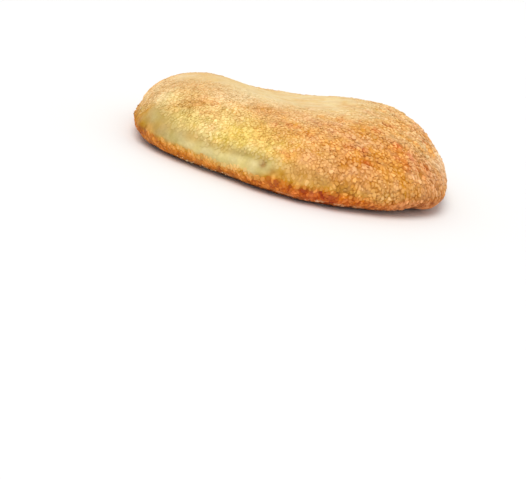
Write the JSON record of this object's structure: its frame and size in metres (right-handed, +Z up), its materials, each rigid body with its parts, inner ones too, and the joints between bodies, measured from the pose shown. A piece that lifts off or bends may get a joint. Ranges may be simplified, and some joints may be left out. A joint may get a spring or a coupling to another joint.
{
  "type": "semolina bread",
  "caption": "Hand-shaped flat semolina loaf with a flat base, a browned rim, a pale side and an uneven, puffed crown crusted with coarse grain.",
  "frame": {"origin": "centre of the loaf's bounding box in plan, on the surface that it stands on", "axes": "+Z up, +X along the longest side, -Y towards the side that the picture shows"},
  "size_m": [0.1501, 0.144, 0.0342],
  "materials": {
    "crust": "matt baked crust covered in coarse semolina grains, pale yellow on the side, orange-brown on the crown and darker round the base"
  },
  "bodies": {
    "root": {"loaf": "crust"}
  },
  "joints": []
}
